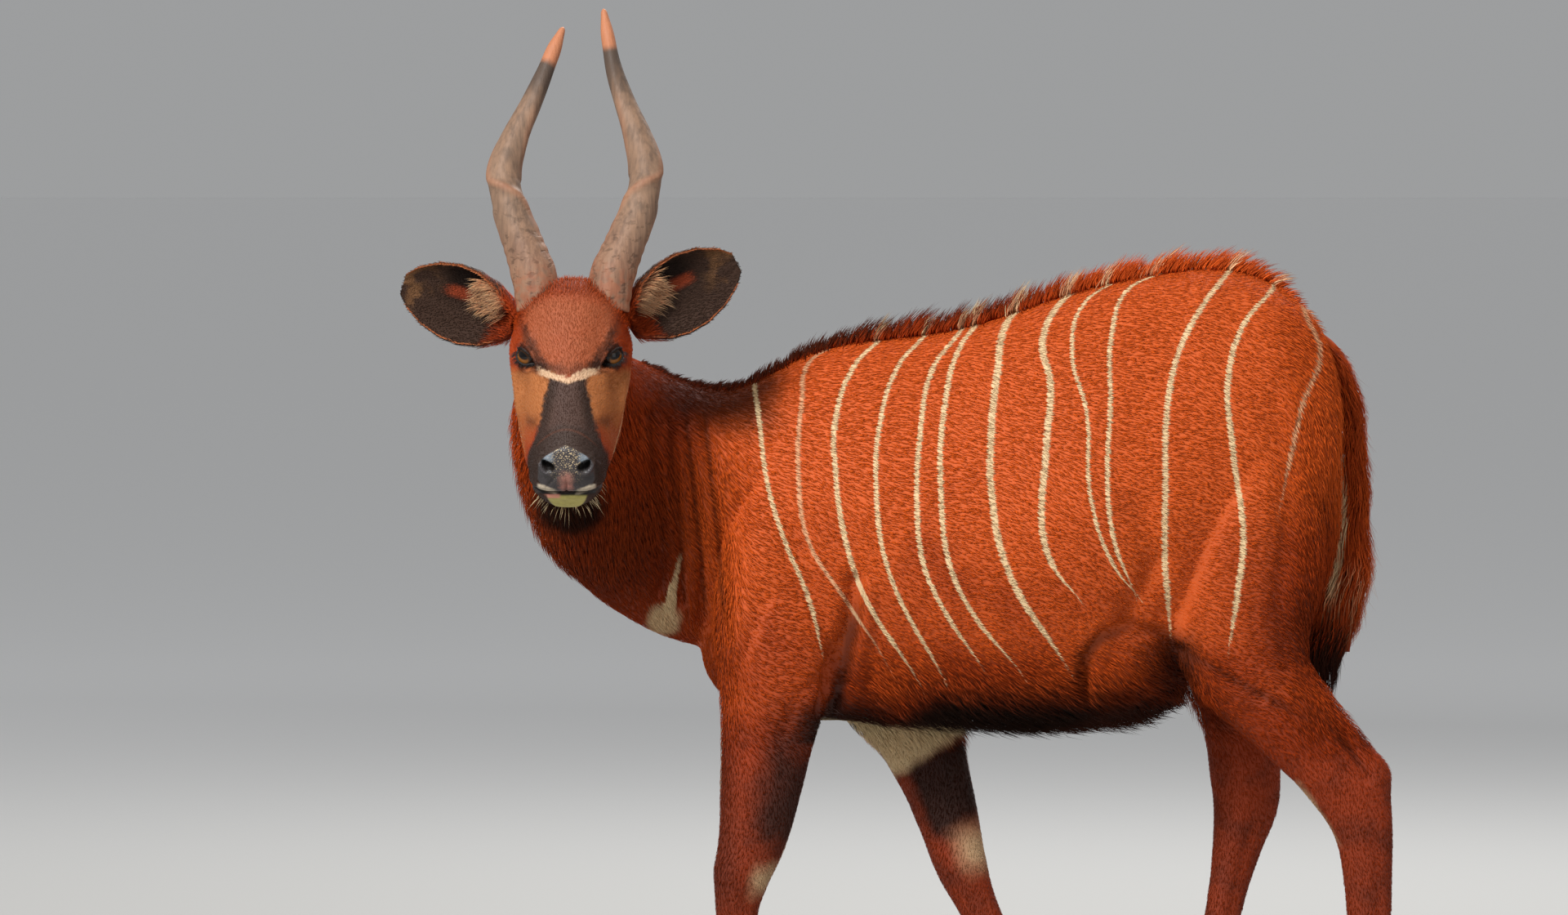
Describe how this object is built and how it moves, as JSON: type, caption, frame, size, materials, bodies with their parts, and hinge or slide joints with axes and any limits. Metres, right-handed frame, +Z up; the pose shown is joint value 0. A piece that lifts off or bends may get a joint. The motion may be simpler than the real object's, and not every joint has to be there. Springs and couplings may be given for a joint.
{
  "type": "antelope figure",
  "caption": "Life-size striped forest antelope, still, in a slow walking stance with its head turned to its left, lyre-shaped horns, large cupped ears, short mane and tufted tail.",
  "frame": {"origin": "middle of the bounding box at floor level, between the hooves", "axes": "+Z up from the floor to the horn tips; the animal's trunk lies along X and it walks towards -X; its left side, to which the head turns, faces -Y"},
  "size_m": [1.4698, 0.6825, 1.5771],
  "materials": {
    "hide": "short orange-red coat with thin white stripes",
    "face": "short coat, chestnut and tan with a dark nose band",
    "leg_hide": "short coat, red-brown with dark and white patches",
    "ear": "short dark coat with pale tufts inside",
    "horn": "ringed grey-brown horn with pale tips",
    "hoof": "worn black hoof horn",
    "eye": "wet dark brown"
  },
  "bodies": {
    "root": {"torso": "hide", "neck": "hide", "head": "face", "tail": "hide", "foreleg_left": "leg_hide", "foreleg_right": "leg_hide", "hindleg_left": "leg_hide", "hindleg_right": "leg_hide", "ear_left": "ear", "ear_right": "ear", "horn_left": "horn", "horn_right": "horn", "eye_left": "eye", "eye_right": "eye", "hoof_fore_left_outer": "hoof", "hoof_fore_left_inner": "hoof", "hoof_fore_right_outer": "hoof", "hoof_fore_right_inner": "hoof", "hoof_hind_left_outer": "hoof", "hoof_hind_left_inner": "hoof", "hoof_hind_right_outer": "hoof", "hoof_hind_right_inner": "hoof"}
  },
  "joints": []
}
